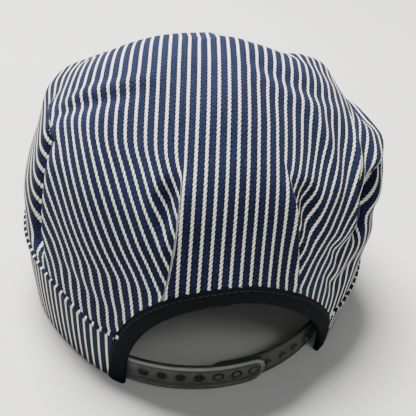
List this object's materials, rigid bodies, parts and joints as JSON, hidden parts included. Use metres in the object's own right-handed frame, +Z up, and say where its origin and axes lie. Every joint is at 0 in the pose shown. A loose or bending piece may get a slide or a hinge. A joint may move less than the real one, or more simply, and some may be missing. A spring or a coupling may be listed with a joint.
{
  "type": "snapback cap",
  "caption": "Soft cap with a deep pleated striped crown, a cloth band, a curved peak and a bound opening at the back closed by a snapped plastic strap.",
  "frame": {"origin": "on the surface that the cap rests on, under the middle of its box", "axes": "+Y towards the peak, +Z up, the strap on the -Y side"},
  "size_m": [0.2118, 0.269, 0.165],
  "materials": {
    "crown_cloth": "navy cotton twill with raised white rope stripes",
    "band_cloth": "navy cotton twill with raised white rope stripes",
    "peak_cloth": "navy cotton twill with raised white rope stripes over a stiff board",
    "binding_tape": "black woven cotton tape",
    "strap_plastic": "charcoal moulded polyethylene with a soft satin gloss"
  },
  "bodies": {
    "root": {"crown": "crown_cloth", "band": "band_cloth", "peak": "peak_cloth", "opening_binding": "binding_tape", "strap_with_holes": "strap_plastic", "strap_with_pegs": "strap_plastic"}
  },
  "joints": []
}
